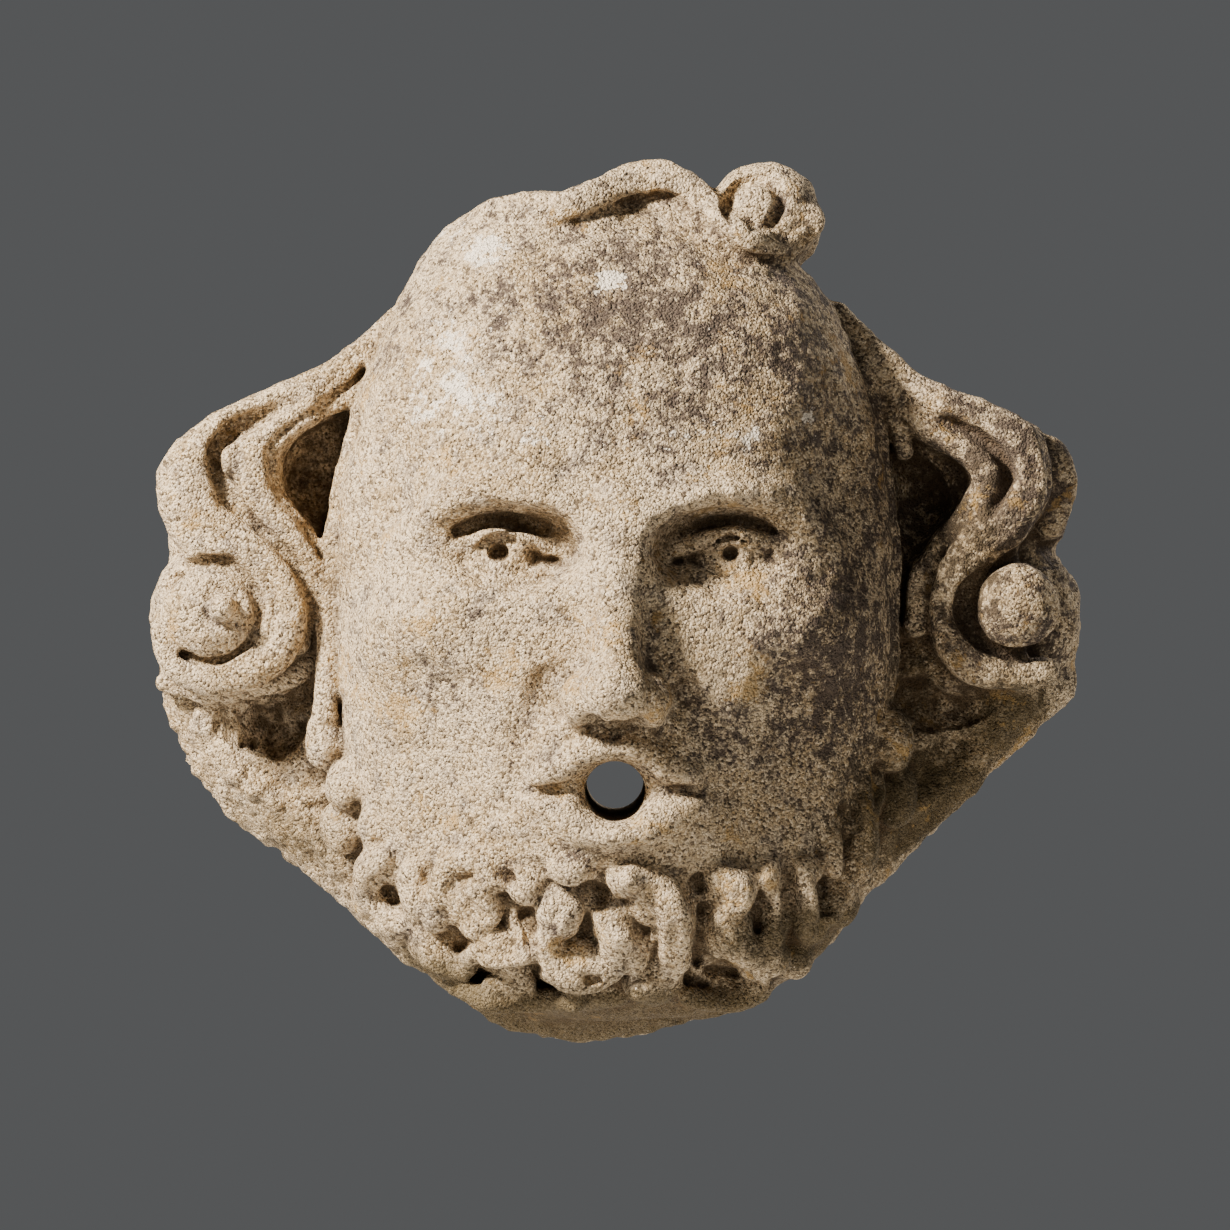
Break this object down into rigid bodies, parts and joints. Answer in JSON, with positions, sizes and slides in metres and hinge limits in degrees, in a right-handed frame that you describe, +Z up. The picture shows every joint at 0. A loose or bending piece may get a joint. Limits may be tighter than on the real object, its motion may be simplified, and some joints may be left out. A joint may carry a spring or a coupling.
{
  "type": "fountain mask",
  "caption": "Carved limestone fountain mask: a bearded head in high relief on a rough block, with hair rolled into side volutes and a water bore between the lips.",
  "frame": {"origin": "on the flat back of the block, on the centre line of the head, at the height of the side volutes", "axes": "+Y out of the flat back into the wall, -Y out of the face, +Z up, +X to the right as the mask is looked at"},
  "size_m": [0.4682, 0.2198, 0.4373],
  "materials": {
    "stone": "weathered, granular limestone"
  },
  "bodies": {
    "root": {"fountain_mask": "stone"}
  },
  "joints": []
}
